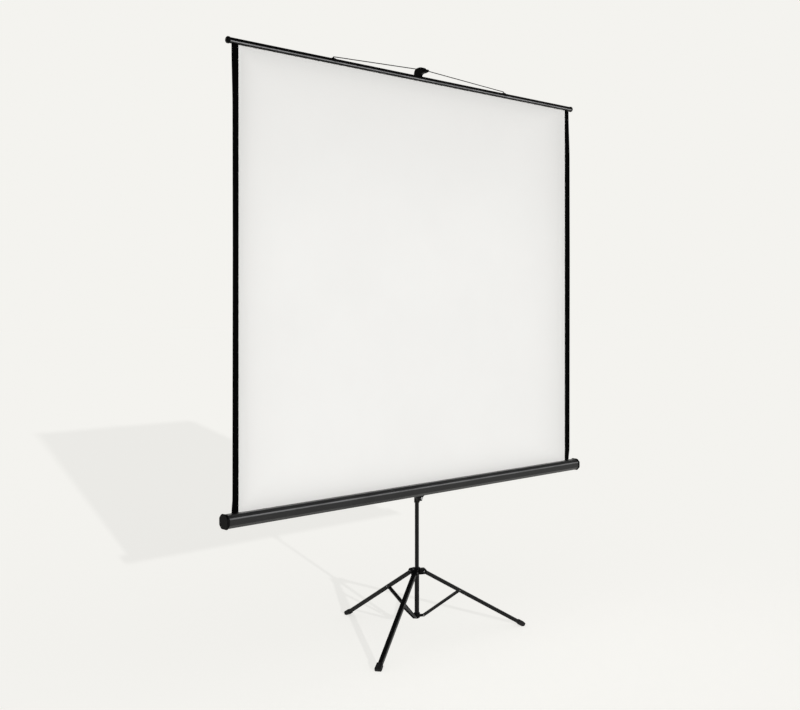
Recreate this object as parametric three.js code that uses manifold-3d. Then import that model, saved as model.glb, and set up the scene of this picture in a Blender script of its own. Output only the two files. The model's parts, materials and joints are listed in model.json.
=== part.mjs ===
// Tripod projection screen: a folding three-legged stand, a mast with a telescopic pole,
// a spring roller in an eight-sided casing, and a screen fabric hung from the pole by a wire bail.
// Millimetres, +Z up. The picture side faces -Y and the mast axis is the reference while modelling.

import * as THREE from 'three';
import { mergeVertices, toCreasedNormals } from 'three/addons/utils/BufferGeometryUtils.js';
import Module from 'manifold-3d';

const wasm = await Module();
wasm.setup();

// Fits
const FIT_GAP = 0.3; // between pieces that seat on each other
const RUN_GAP = 0.35; // between pieces that slide or turn on each other
const SIDE_GAP = 0.4; // at each side of a link between two cheeks

// Fabric and its places
const FABRIC_WIDTH = 2000;
const FABRIC_THICKNESS = 0.6;
const FABRIC_WAIST = 5; // how far each side edge draws in at mid height
const FABRIC_SETBACK = 55; // from the mast axis forward to the fabric
const ROLLER_HEIGHT = 675; // roller axis above the floor
const SLAT_HEIGHT = 2520; // slat axis above the floor

// Mast and pole
const MAST_DIAMETER = 18.5;
const MAST_WALL = 1.5;
const MAST_TOP = 1450;
const POLE_WALL = 1.2;
const POLE_BOTTOM = 1100;

// Tripod linkage
const LEG_SPREAD = THREE.MathUtils.degToRad(59.1); // from the mast, legs open
const LEG_LENGTH = 549; // from the collar pivot to the leg's end
const LINK_LENGTH = 196; // strut length, and collar pivot to strut rivet
const LEG_WIDTH = 20;
const LEG_DEPTH = 16.2;
const LEG_WALL = 1.6;
const LEG_EDGE = 3.5; // rounding of the channel's long edges
const STRUT_ROOM = 1.2; // between a strut and each wall of the leg that it folds into
const STRUT_DEPTH = 11;
const STRUT_WALL = 1.4;
const STRUT_EDGE = 2.5;
const STRUT_FORK = 15; // length of the strut's open fork at the hub
const FOOT_WALL = 2.2;
const FOOT_GRIP = 24; // how far the boot reaches up the leg
const FOOT_TOE = 10; // how far the boot reaches past the leg's end
const FOOT_FLARE = 1.4; // how much wider the boot is at its toe, at each side
const FOOT_NOSE_HEIGHT = 5; // rounded nose of the boot
const FOOT_NOSE_LENGTH = 8;
const FOOT_EDGE = 1.6;
const LEG_AZIMUTHS = { rear: 90, left: 210, right: 330 };

// Collar, stop sleeve and hub
const SLEEVE_WALL = 0.8;
const COLLAR_WALL = 4;
const COLLAR_WEB = 7; // between the collar's tube and the space round a leg's top
const COLLAR_ROOF = 4;
const COLLAR_CHEEK = 4;
const COLLAR_NECK = 5; // tube standing above the forks
const COLLAR_EDGE = 2.2;
const COLLAR_STEP = 10; // bearing length on the mast above the sleeve
const LEG_ROOM = 0.9; // swing room round a leg's rounded top
const HUB_WALL = 4.5;
const HUB_RISE = 14; // hub top above its pivots
const HUB_DROP = 13.5; // hub bottom below its pivots
const HUB_FLOOR = 5;
const HUB_DOME = 8; // height of the hub's rounded bottom
const HUB_EDGE = 1;

// Pins and rivets
const PIN_DIAMETER = 6;
const PIN_HEAD_DIAMETER = 8.5;
const PIN_HEAD_HEIGHT = 2;
const HUB_PIN_DIAMETER = 5;
const HUB_PIN_HEAD_DIAMETER = 8;
const HUB_PIN_HEAD_HEIGHT = 1.2;

// Mast top bush and its lock button
const TOP_BUSH_WALL = 4;
const TOP_BUSH_GRIP = 34; // length over the mast
const TOP_BUSH_CAP = 12; // length above the mast, round the pole
const BUTTON_DROP = 16; // button axis below the mast's top
const BUTTON_DIAMETER = 9;
const BUTTON_HEAD_DIAMETER = 13;
const BUTTON_HEAD = 4;
const BUTTON_RIM = 2.4; // straight rim of the head, under its crown
const BUTTON_STEM = 9;
const BUTTON_TRAVEL = 3;
const BUTTON_BOSS_WALL = 3;
const BUTTON_BOSS_LENGTH = 14;

// Case carrier
const CARRIER_WALL = 3;
const CARRIER_BOTTOM = 70; // below the roller axis
const CARRIER_TOP = 26; // above the roller axis
const FLARE_HALF = 52;
const FLARE_SHOULDER = 36; // below the roller axis
const FLARE_BOTTOM = 62; // below the roller axis
const FLARE_TOP = 8; // below the roller axis
const FLARE_THICKNESS = 12;
const FLARE_FORWARD = 9; // saddle's front past the carrier's tube
const PIVOT_BOSS_DIAMETER = 24;
const PIVOT_BOLT_DIAMETER = 8;
const PIVOT_HEAD_DIAMETER = 15;
const PIVOT_HEAD = 1.4;
const PLATE_LENGTH = 120;
const PLATE_HEIGHT = 24;
const PLATE_THICKNESS = 3.4;
const PLATE_ROUND = 8;
const PLATE_RIVET_SPACING = 90;
const PLATE_RIVET_DIAMETER = 5;
const PLATE_RIVET_HEAD_DIAMETER = 9;
const PLATE_RIVET_HEAD = 2;
const KNOB_DROP = 50; // knob axis below the roller axis
const KNOB_DIAMETER = 15;
const KNOB_LENGTH = 12;
const KNOB_LOBES = 6;
const KNOB_LOBE_DEPTH = 0.7;
const KNOB_EDGE = 1.5;
const KNOB_SCREW_DIAMETER = 5;
const KNOB_BOSS_DIAMETER = 11;
const KNOB_BOSS_LENGTH = 4;

// Casing and its end caps
const CASE_OVERHANG = 31.5; // casing past each fabric edge
const CASE_HEIGHT = 52;
const CASE_DEPTH = 58;
const CASE_CHAMFER = 13;
const CASE_WALL = 1.4;
const CASE_EDGE = 3;
const SLIT_WIDTH = 4.6;
const SLIT_LIP = 4;
const CAP_GROWTH = 3.6; // end cap outline past the casing's
const CAP_LENGTH = 10;
const CAP_ROUND = 11;
const CAP_BEVEL = 4.5;
const CAP_SPIGOT = 13;

// Roller
const ROLLER_OFFSET = 10.5; // roller axis forward of the fabric
const ROLLER_WALL = 1.2;
const ROLL_BUILD = 1.2; // fabric left wound on the roller
const ROLLER_OVERHANG = 4; // roller past each fabric edge
const GUDGEON_DIAMETER = 8;
const ROLLER_PLUG = 16; // plug and bush length in the roller
const SPRING_WIRE = 1.6;
const SPRING_TURNS = 14;
const SPRING_LENGTH = 56;
const SPRING_SHAFT = 80; // shaft length inside the bush

// Slat, bail and hook
const SLAT_DIAMETER = 23.5;
const SLAT_WALL = 1.2;
const SLAT_SLIT = 2;
const SLAT_OVERHANG = 11;
const SLAT_CAP_DIAMETER = 27.5;
const SLAT_CAP_LENGTH = 12;
const SLAT_CAP_RIM = 6.5; // straight rim of the cap, under its dome
const SLAT_SPIGOT = 7;
const BAIL_WIRE = 4;
const BAIL_HALF_SPAN = 514;
const BAIL_RISE = 42; // bail top above the slat axis
const BAIL_FLAT = 14; // half length of the level stretch in the hook
const BAIL_BEND = 3.5;
const CLIP_WALL = 1.8;
const CLIP_LENGTH = 14;
const CLIP_WRAP = THREE.MathUtils.degToRad(12); // reach past the slat's middle at each side
const CLIP_BOSS_DIAMETER = 9;
const CLIP_BOSS = 1.2;
const HOOK_WIDTH = 20;
const HOOK_WALL = 2.7;
const HOOK_BEVEL = 1.5;
const HOOK_REACH = 17; // nose past the bail
const HOOK_SKIRT = 54; // hook socket below the slat axis
const HOOK_SOCKET = 33; // pole's end above the slat axis
const HOOK_TOP = 17; // hump above the bail
const HOOK_HUMP = 23; // hump's crown forward of the pole axis
const HOOK_MOUTH = 8; // height and round of the hump's front over the bail
const HOOK_LIP = 1.5; // nose's lip over the bail
const HOOK_CHIN = 11; // nose's underside below the bail
const HOOK_THROAT = 25; // web forward of the pole axis
const HOOK_GUSSET = 21; // web's lower end below the slat axis

// Roundness
const ROUND_SIDES = 24;
const PIN_SIDES = 12;
const WIRE_SIDES = 8;
const ARC_STEPS = 6; // along each arc of an outline
const BEVEL_STEPS = 2;
const EDGE_STEPS = 3; // round a section's corner
const LOBE_STEPS = 4; // round each lobe of the knob
const SPRING_STEPS = 8; // along each turn of the spring
const SPRING_SIDES = 5;
const LEAST_ROUND = 0.4; // inside a channel's corner, however thick its wall
const CREASE = 0.5; // radians between faces that shade as separate
const WIRE_CREASE = 0.9;
const MERGE_DISTANCE = 1e-4;

// Values that follow from the sizes above
const mastRadius = MAST_DIAMETER / 2;
const mastBore = mastRadius - MAST_WALL;
const poleRadius = mastBore - RUN_GAP;
const slideBore = mastRadius + RUN_GAP;
const sleeveRadius = slideBore + SLEEVE_WALL;
const collarTube = sleeveRadius + FIT_GAP + COLLAR_WALL;
const pivotRadius = collarTube + COLLAR_WEB + LEG_ROOM + LEG_DEPTH / 2;
const strutWidth = LEG_WIDTH - 2 * (LEG_WALL + STRUT_ROOM);
const footHalf = LEG_DEPTH / 2 + FIT_GAP + FOOT_WALL;
const legEndHeight = footHalf * Math.sin(LEG_SPREAD);
const collarHeight = legEndHeight + LEG_LENGTH * Math.cos(LEG_SPREAD);
const hubHeight = collarHeight - 2 * LINK_LENGTH * Math.cos(LEG_SPREAD);
const hubTube = mastRadius + FIT_GAP + HUB_WALL;
const rivetRadius = pivotRadius + LINK_LENGTH * Math.sin(LEG_SPREAD);
const legTilt = Math.PI / 2 - LEG_SPREAD;
const fabricY = -FABRIC_SETBACK;
const rollerY = fabricY - ROLLER_OFFSET;
const rollRadius = ROLLER_OFFSET - FABRIC_THICKNESS / 2 - FIT_GAP;
const rollerRadius = rollRadius - ROLL_BUILD - FIT_GAP;
const rollerBore = rollerRadius - ROLLER_WALL;
const rollerHalf = FABRIC_WIDTH / 2 + ROLLER_OVERHANG;
const caseHalf = FABRIC_WIDTH / 2 + CASE_OVERHANG;
const caseBack = rollerY + CASE_DEPTH / 2;
const plateBack = caseBack + FIT_GAP + PLATE_THICKNESS;
const gudgeonRadius = GUDGEON_DIAMETER / 2;
const slatRadius = SLAT_DIAMETER / 2;
const slatBore = slatRadius - SLAT_WALL;
const slatHalf = FABRIC_WIDTH / 2 + SLAT_OVERHANG;
const clipRadius = slatRadius + FIT_GAP + CLIP_WALL;
const bailShoulder = clipRadius + CLIP_BOSS + BAIL_BEND;

// Finishes
const finish = (color, roughness, metalness) =>
  new THREE.MeshStandardMaterial({ color, roughness, metalness });
const blackPaint = () => finish(0x1b1b1c, 0.42, 0.3);
const blackPlastic = () => finish(0x161617, 0.55, 0);
const blackRubber = () => finish(0x121212, 0.85, 0);
const greySteel = () => finish(0x9c9c9a, 0.35, 0.9);
const whiteFabric = () => finish(0xe8e8e5, 0.9, 0);

// Solids for joining and cutting
function toSolid(geometry) {
  const bare = geometry.clone();
  bare.deleteAttribute('normal');
  bare.deleteAttribute('uv');
  const merged = mergeVertices(bare, MERGE_DISTANCE);
  const index = merged.index.array;
  const triangles = [];
  for (let i = 0; i < index.length; i += 3) {
    const [a, b, c] = [index[i], index[i + 1], index[i + 2]];
    if (a !== b && b !== c && c !== a) triangles.push(a, b, c);
  }
  const vertProperties = new Float32Array(merged.attributes.position.array);
  const triVerts = new Uint32Array(triangles);
  return new wasm.Manifold(new wasm.Mesh({ numProp: 3, vertProperties, triVerts }));
}

function toGeometry(solid) {
  const { vertProperties, triVerts } = solid.getMesh();
  const geometry = new THREE.BufferGeometry();
  geometry.setAttribute('position', new THREE.BufferAttribute(new Float32Array(vertProperties), 3));
  geometry.setIndex(new THREE.BufferAttribute(new Uint32Array(triVerts), 1));
  return toCreasedNormals(geometry, CREASE);
}

const join = (first, ...others) =>
  toGeometry(others.reduce((sum, g) => sum.add(toSolid(g)), toSolid(first)));
const cut = (first, ...others) =>
  toGeometry(others.reduce((rest, g) => rest.subtract(toSolid(g)), toSolid(first)));
const common = (first, second) => toGeometry(toSolid(first).intersect(toSolid(second)));

// Basic forms
const axisX = new THREE.Vector3(1, 0, 0);
const axisY = new THREE.Vector3(0, 1, 0);
const axisZ = new THREE.Vector3(0, 0, 1);
const at = (u, v) => new THREE.Vector2(u, v);

// A profile of [radius, height] pairs turned about Z
function revolved(profile, sides = ROUND_SIDES) {
  const points = profile.map(([r, z]) => new THREE.Vector2(r, z));
  return new THREE.LatheGeometry(points, sides).rotateX(Math.PI / 2);
}

function ring(outer, inner, bottom, top, sides = ROUND_SIDES) {
  return revolved([[inner, bottom], [outer, bottom], [outer, top], [inner, top], [inner, bottom]], sides);
}

function rod(radius, bottom, top, sides = ROUND_SIDES) {
  return revolved([[0, bottom], [radius, bottom], [radius, top], [0, top]], sides);
}

// Profile of a dome, from its crown on the axis out to its rim
function dome(radius, crown, rim, steps = BEVEL_STEPS) {
  return Array.from({ length: steps + 1 }, (_, i) => {
    const angle = (Math.PI / 2) * (i / steps);
    return [radius * Math.sin(angle), rim + (crown - rim) * Math.cos(angle)];
  });
}

// Forms made along Z, laid along X or Y instead
const alongX = (geometry) => geometry.rotateY(Math.PI / 2);
const alongY = (geometry) => geometry.rotateX(-Math.PI / 2);

function extruded(shape, depth, bevel, curveSegments = ARC_STEPS) {
  const options = { depth, curveSegments, bevelEnabled: false };
  if (bevel > 0) {
    options.depth = depth - 2 * bevel;
    options.bevelEnabled = true;
    options.bevelThickness = bevel;
    options.bevelSize = bevel;
    options.bevelOffset = -bevel;
    options.bevelSegments = BEVEL_STEPS;
  }
  return new THREE.ExtrudeGeometry(shape, options).translate(0, 0, bevel);
}

// A section in Y and Z, drawn out along X from 0
function prism(section, length, bevel = 0, arcSteps = ARC_STEPS) {
  const turn = new THREE.Matrix4().makeBasis(axisY, axisZ, axisX);
  return extruded(section, length, bevel, arcSteps).applyMatrix4(turn);
}

// An outline in X and Z, given a thickness along Y about the middle plane
function plate(outline, thickness, bevel = 0) {
  return extruded(outline, thickness, bevel).translate(0, 0, -thickness / 2).rotateX(Math.PI / 2);
}

// Open path with its inner corners rounded to a radius
function roundedPath(corners, radius, steps = EDGE_STEPS) {
  const path = [corners[0]];
  for (let i = 1; i < corners.length - 1; i += 1) {
    const corner = corners[i];
    const back = corners[i - 1].clone().sub(corner).normalize();
    const ahead = corners[i + 1].clone().sub(corner).normalize();
    const half = Math.acos(THREE.MathUtils.clamp(back.dot(ahead), -1, 1)) / 2;
    const reach = radius / Math.tan(half);
    const inwards = back.clone().add(ahead).normalize();
    const centre = corner.clone().addScaledVector(inwards, radius / Math.sin(half));
    const start = corner.clone().addScaledVector(back, reach).sub(centre);
    const end = corner.clone().addScaledVector(ahead, reach).sub(centre);
    const sweep = start.angleTo(end);
    for (let s = 0; s <= steps; s += 1) {
      const t = s / steps;
      const a = Math.sin((1 - t) * sweep) / Math.sin(sweep);
      const b = Math.sin(t * sweep) / Math.sin(sweep);
      path.push(centre.clone().addScaledVector(start, a).addScaledVector(end, b));
    }
  }
  path.push(corners[corners.length - 1]);
  return path;
}

// Closed outline with every corner rounded
function roundedOutline(corners, radius, steps = EDGE_STEPS) {
  const count = corners.length;
  const wrapped = [corners[count - 1], ...corners, corners[0]];
  return new THREE.Shape(roundedPath(wrapped, radius, steps).slice(1, -1));
}

// Corners of the casing's eight-sided section, from the top rear one towards the bottom
function octagon(inset) {
  const y = CASE_DEPTH / 2 - inset;
  const z = CASE_HEIGHT / 2 - inset;
  const c = CASE_CHAMFER - inset * (2 - Math.SQRT2);
  return [
    at(y - c, z), at(y, z - c), at(y, c - z), at(y - c, -z),
    at(c - y, -z), at(-y, c - z), at(-y, z - c), at(c - y, z),
  ];
}

// A round wire through a list of points, with flat ends, that sets off across Y
function wire(points, radius, sides = WIRE_SIDES) {
  const vertices = [];
  const normal = axisY.clone();
  points.forEach((point, i) => {
    const before = points[Math.max(i - 1, 0)];
    const after = points[Math.min(i + 1, points.length - 1)];
    const tangent = after.clone().sub(before).normalize();
    normal.addScaledVector(tangent, -normal.dot(tangent)).normalize();
    const side = tangent.clone().cross(normal);
    for (let k = 0; k < sides; k += 1) {
      const angle = (2 * Math.PI * k) / sides;
      const rim = point.clone().addScaledVector(normal, radius * Math.cos(angle));
      vertices.push(...rim.addScaledVector(side, radius * Math.sin(angle)));
    }
  });
  const triangles = [];
  for (let i = 0; i < points.length - 1; i += 1) {
    for (let k = 0; k < sides; k += 1) {
      const a = i * sides + k;
      const b = i * sides + ((k + 1) % sides);
      triangles.push(a, b, b + sides, a, b + sides, a + sides);
    }
  }
  const last = (points.length - 1) * sides;
  for (let k = 1; k < sides - 1; k += 1) {
    triangles.push(0, k + 1, k, last, last + k, last + k + 1);
  }
  const geometry = new THREE.BufferGeometry();
  geometry.setAttribute('position', new THREE.Float32BufferAttribute(vertices, 3));
  geometry.setIndex(triangles);
  return toCreasedNormals(geometry, WIRE_CREASE);
}

// A shank with a domed head at each end, along Z about the middle
function rivet(diameter, grip, headDiameter, headHeight) {
  const r = diameter / 2;
  const h = grip / 2;
  const lowerHead = dome(headDiameter / 2, -h - headHeight, -h);
  const upperHead = dome(headDiameter / 2, h + headHeight, h).reverse();
  return revolved([...lowerHead, [r, -h], [r, h], ...upperHead], PIN_SIDES);
}

const screen = new THREE.Group();

function add(name, geometry, material, parent = screen) {
  const mesh = new THREE.Mesh(geometry, material);
  mesh.name = name;
  parent.add(mesh);
  return mesh;
}

// Channel section, open below, with rounded upper edges, standing about the X axis
function channelSection(width, depth, wall, edge) {
  const w = width / 2;
  const d = depth / 2;
  const inner = Math.max(edge - wall, LEAST_ROUND);
  const outside = roundedPath([at(w, -d), at(w, d), at(-w, d), at(-w, -d)], edge);
  const iw = w - wall;
  const id = d - wall;
  const inside = roundedPath([at(-iw, -d), at(-iw, id), at(iw, id), at(iw, -d)], inner);
  return new THREE.Shape([...outside, ...inside]);
}

// Side view of a link with round ends, in X and Z
function linkOutline(from, to, depth, roundFar) {
  const r = depth / 2;
  const outline = new THREE.Shape();
  outline.moveTo(from, -r);
  outline.lineTo(to, -r);
  if (roundFar) outline.absarc(to, 0, r, -Math.PI / 2, Math.PI / 2, false);
  else outline.lineTo(to, r);
  outline.lineTo(from, r);
  outline.absarc(from, 0, r, Math.PI / 2, (3 * Math.PI) / 2, false);
  return outline;
}

// A bore through the width of a link
function crossBore(diameter, width, x = 0, z = 0) {
  const radius = diameter / 2 + FIT_GAP;
  return alongY(rod(radius, -width, width, PIN_SIDES)).translate(x, 0, z);
}

function legGeometry() {
  const reach = LEG_DEPTH / 2;
  const section = channelSection(LEG_WIDTH, LEG_DEPTH, LEG_WALL, LEG_EDGE);
  const channel = prism(section, LEG_LENGTH + reach).translate(-reach, 0, 0);
  const side = plate(linkOutline(0, LEG_LENGTH, LEG_DEPTH, false), LEG_WIDTH * 2);
  const bores = [0, LINK_LENGTH].map((x) => crossBore(PIN_DIAMETER, LEG_WIDTH, x));
  return cut(common(channel, side), ...bores);
}

function strutGeometry() {
  const reach = STRUT_DEPTH / 2;
  const section = channelSection(strutWidth, STRUT_DEPTH, STRUT_WALL, STRUT_EDGE);
  const channel = prism(section, LINK_LENGTH + 2 * reach).translate(-reach, 0, 0);
  const side = plate(linkOutline(0, LINK_LENGTH, STRUT_DEPTH, true), strutWidth * 2);
  const inside = strutWidth - 2 * STRUT_WALL;
  const fork = new THREE.BoxGeometry(STRUT_FORK + reach, inside, STRUT_DEPTH * 2);
  fork.translate((STRUT_FORK - reach) / 2, 0, 0);
  const hubBore = crossBore(HUB_PIN_DIAMETER, strutWidth);
  const legBore = crossBore(PIN_DIAMETER, strutWidth, LINK_LENGTH);
  return cut(common(channel, side), fork, hubBore, legBore);
}

// Widen a form of a given half width along Y, from nothing at one X to a full growth at another
function flared(geometry, half, from, to, growth) {
  const position = geometry.attributes.position;
  for (let i = 0; i < position.count; i += 1) {
    const share = (position.getX(i) - from) / (to - from);
    position.setY(i, position.getY(i) * (1 + (share * growth) / half));
  }
  return geometry;
}

// Rubber boot in the leg's own line, cut flat where it stands on the floor
function footGeometry() {
  const sin = Math.sin(LEG_SPREAD);
  const cos = Math.cos(LEG_SPREAD);
  const toeDrop = (legEndHeight - FOOT_TOE * cos) / sin;
  const outline = new THREE.Shape();
  outline.moveTo(-FOOT_GRIP, -footHalf);
  outline.lineTo(0, -footHalf);
  outline.lineTo(FOOT_TOE, -toeDrop);
  outline.lineTo(FOOT_TOE, footHalf - FOOT_NOSE_HEIGHT);
  outline.quadraticCurveTo(FOOT_TOE, footHalf, FOOT_TOE - FOOT_NOSE_LENGTH, footHalf);
  outline.lineTo(-FOOT_GRIP, footHalf);
  const pocketWidth = LEG_WIDTH + 2 * FIT_GAP;
  const bootWidth = pocketWidth + 2 * FOOT_WALL;
  const boot = flared(plate(outline, bootWidth, FOOT_EDGE), bootWidth / 2, -FOOT_GRIP, FOOT_TOE, FOOT_FLARE);
  const pocket = new THREE.BoxGeometry(FOOT_GRIP * 2, pocketWidth, LEG_DEPTH + 2 * FIT_GAP);
  return cut(boot, pocket.translate(FIT_GAP - FOOT_GRIP, 0, 0));
}

// Space that one leg's top sweeps in its fork, from open to folded, about the pivot
function legSwing() {
  const r = LEG_DEPTH / 2 + LEG_ROOM;
  const far = LEG_LENGTH / 4;
  const along = new THREE.Vector2(Math.sin(LEG_SPREAD), -Math.cos(LEG_SPREAD));
  const above = new THREE.Vector2(Math.cos(LEG_SPREAD), Math.sin(LEG_SPREAD)).multiplyScalar(r);
  const outer = above.clone().addScaledVector(along, far);
  const swing = new THREE.Shape();
  swing.moveTo(-r, -far);
  swing.lineTo(outer.x, -far);
  swing.lineTo(outer.x, outer.y);
  swing.lineTo(above.x, above.y);
  swing.absarc(0, 0, r, LEG_SPREAD, Math.PI, false);
  return plate(swing, LEG_WIDTH + 2 * SIDE_GAP);
}

const forkRadius = LEG_DEPTH / 2 + LEG_ROOM + COLLAR_ROOF;
const forkWidth = LEG_WIDTH + 2 * (SIDE_GAP + COLLAR_CHEEK);

// Sliding collar with a roofed fork for each leg, about the pivots' height
function collarGeometry() {
  const forks = [];
  const swings = [];
  const bores = [];
  for (const azimuth of Object.values(LEG_AZIMUTHS)) {
    const turn = THREE.MathUtils.degToRad(azimuth);
    const place = (geometry) => geometry.translate(pivotRadius, 0, 0).rotateZ(turn);
    const outline = new THREE.Shape();
    outline.moveTo(sleeveRadius - pivotRadius, -forkRadius);
    outline.lineTo(0, -forkRadius);
    outline.absarc(0, 0, forkRadius, -Math.PI / 2, Math.PI / 2, false);
    outline.lineTo(sleeveRadius - pivotRadius, forkRadius);
    forks.push(place(plate(outline, forkWidth, COLLAR_EDGE)));
    swings.push(place(legSwing()));
    bores.push(place(crossBore(PIN_DIAMETER, forkWidth)));
  }
  const top = forkRadius + COLLAR_NECK;
  const tube = rod(collarTube, -forkRadius, top);
  const sleeveBore = rod(sleeveRadius + FIT_GAP, -2 * forkRadius, top - COLLAR_STEP);
  const mastHole = rod(slideBore, -2 * forkRadius, 2 * top);
  return cut(join(tube, ...forks), ...swings, ...bores, sleeveBore, mastHole);
}

// Domed hub with a lug for each strut, about the pivots' height
function hubGeometry() {
  const body = revolved([
    ...dome(hubTube, -HUB_DROP, HUB_DOME - HUB_DROP, EDGE_STEPS),
    [hubTube, HUB_RISE - HUB_EDGE], [hubTube - HUB_EDGE, HUB_RISE], [0, HUB_RISE],
  ]);
  const lugRadius = STRUT_DEPTH / 2 - FIT_GAP;
  const lugWidth = strutWidth - 2 * (STRUT_WALL + SIDE_GAP);
  const lugs = [];
  const bores = [];
  for (const azimuth of Object.values(LEG_AZIMUTHS)) {
    const turn = THREE.MathUtils.degToRad(azimuth);
    const outline = linkOutline(mastRadius + HUB_WALL / 2, pivotRadius, lugRadius * 2, true);
    lugs.push(plate(outline, lugWidth).rotateZ(turn));
    bores.push(crossBore(HUB_PIN_DIAMETER, lugWidth, pivotRadius).rotateZ(turn));
  }
  const socket = rod(mastRadius + FIT_GAP, HUB_FLOOR - HUB_DROP, 2 * HUB_RISE);
  return cut(join(body, ...lugs), socket, ...bores);
}

function buildTripod() {
  const riseOfMast = hubHeight - HUB_DROP + HUB_FLOOR + FIT_GAP;
  add('mast_tube', ring(mastRadius, mastBore, riseOfMast, MAST_TOP), blackPaint());
  add('base_hub', hubGeometry(), blackPlastic()).position.z = hubHeight;
  add('leg_collar', collarGeometry(), blackPlastic()).position.z = collarHeight;
  const sleeveTop = collarHeight + forkRadius + COLLAR_NECK - COLLAR_STEP - FIT_GAP;
  const sleeveBottom = hubHeight + HUB_RISE + FIT_GAP;
  add('stop_sleeve', ring(sleeveRadius, slideBore, sleeveBottom, sleeveTop), blackPaint());

  for (const [side, azimuth] of Object.entries(LEG_AZIMUTHS)) {
    const arm = new THREE.Group();
    arm.rotation.z = THREE.MathUtils.degToRad(azimuth);
    screen.add(arm);

    const legLine = new THREE.Group();
    legLine.position.set(pivotRadius, 0, collarHeight);
    legLine.rotation.y = legTilt;
    arm.add(legLine);
    add(`leg_${side}`, legGeometry(), blackPaint(), legLine);
    add(`foot_${side}`, footGeometry(), blackRubber(), legLine).position.x = LEG_LENGTH;

    const strutLine = new THREE.Group();
    strutLine.position.set(pivotRadius, 0, hubHeight);
    strutLine.rotation.y = -legTilt;
    arm.add(strutLine);
    add(`strut_${side}`, strutGeometry(), blackPaint(), strutLine);

    const collarGrip = forkWidth + 2 * FIT_GAP;
    const collarPin = rivet(PIN_DIAMETER, collarGrip, PIN_HEAD_DIAMETER, PIN_HEAD_HEIGHT);
    add(`collar_pin_${side}`, alongY(collarPin), greySteel(), arm).position.set(pivotRadius, 0, collarHeight);

    const strutPin = rivet(PIN_DIAMETER, LEG_WIDTH + 2 * FIT_GAP, PIN_HEAD_DIAMETER, PIN_HEAD_HEIGHT);
    const rivetHeight = (collarHeight + hubHeight) / 2;
    add(`strut_rivet_${side}`, alongY(strutPin), greySteel(), arm).position.set(rivetRadius, 0, rivetHeight);

    const hubGrip = strutWidth + 2 * FIT_GAP;
    const hubPin = rivet(HUB_PIN_DIAMETER, hubGrip, HUB_PIN_HEAD_DIAMETER, HUB_PIN_HEAD_HEIGHT);
    add(`hub_pin_${side}`, alongY(hubPin), greySteel(), arm).position.set(pivotRadius, 0, hubHeight);
  }
}

// Bush on the mast's top with a rear boss for the pole's lock button
function buildMastTop() {
  const outer = mastRadius + FIT_GAP + TOP_BUSH_WALL;
  const bossRadius = BUTTON_DIAMETER / 2 + RUN_GAP + BUTTON_BOSS_WALL;
  const bossEnd = outer + BUTTON_BOSS_LENGTH;
  const buttonHeight = MAST_TOP - BUTTON_DROP;
  const body = rod(outer, MAST_TOP - TOP_BUSH_GRIP, MAST_TOP + TOP_BUSH_CAP);
  const boss = alongY(rod(bossRadius, outer / 2, bossEnd)).translate(0, 0, buttonHeight);
  const seat = rod(mastRadius + FIT_GAP, MAST_TOP - 2 * TOP_BUSH_GRIP, MAST_TOP + FIT_GAP);
  const poleHole = rod(poleRadius + RUN_GAP, MAST_TOP - TOP_BUSH_GRIP, MAST_TOP + 2 * TOP_BUSH_CAP);
  const stemEnd = bossEnd + BUTTON_TRAVEL + FIT_GAP - BUTTON_STEM;
  const well = rod(BUTTON_DIAMETER / 2 + RUN_GAP, stemEnd - BUTTON_TRAVEL - FIT_GAP, bossEnd * 2);
  const wellPlaced = alongY(well).translate(0, 0, buttonHeight);
  add('mast_top_bush', cut(join(body, boss), seat, poleHole, wellPlaced), blackPlastic());

  const stem = BUTTON_DIAMETER / 2;
  const head = BUTTON_HEAD_DIAMETER / 2;
  const crown = dome(head, BUTTON_STEM + BUTTON_HEAD, BUTTON_STEM + BUTTON_RIM).reverse();
  const button = revolved([[0, 0], [stem, 0], [stem, BUTTON_STEM], [head, BUTTON_STEM], ...crown], PIN_SIDES);
  add('lock_button', alongY(button), greySteel()).position.set(0, stemEnd, buttonHeight);
}

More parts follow.
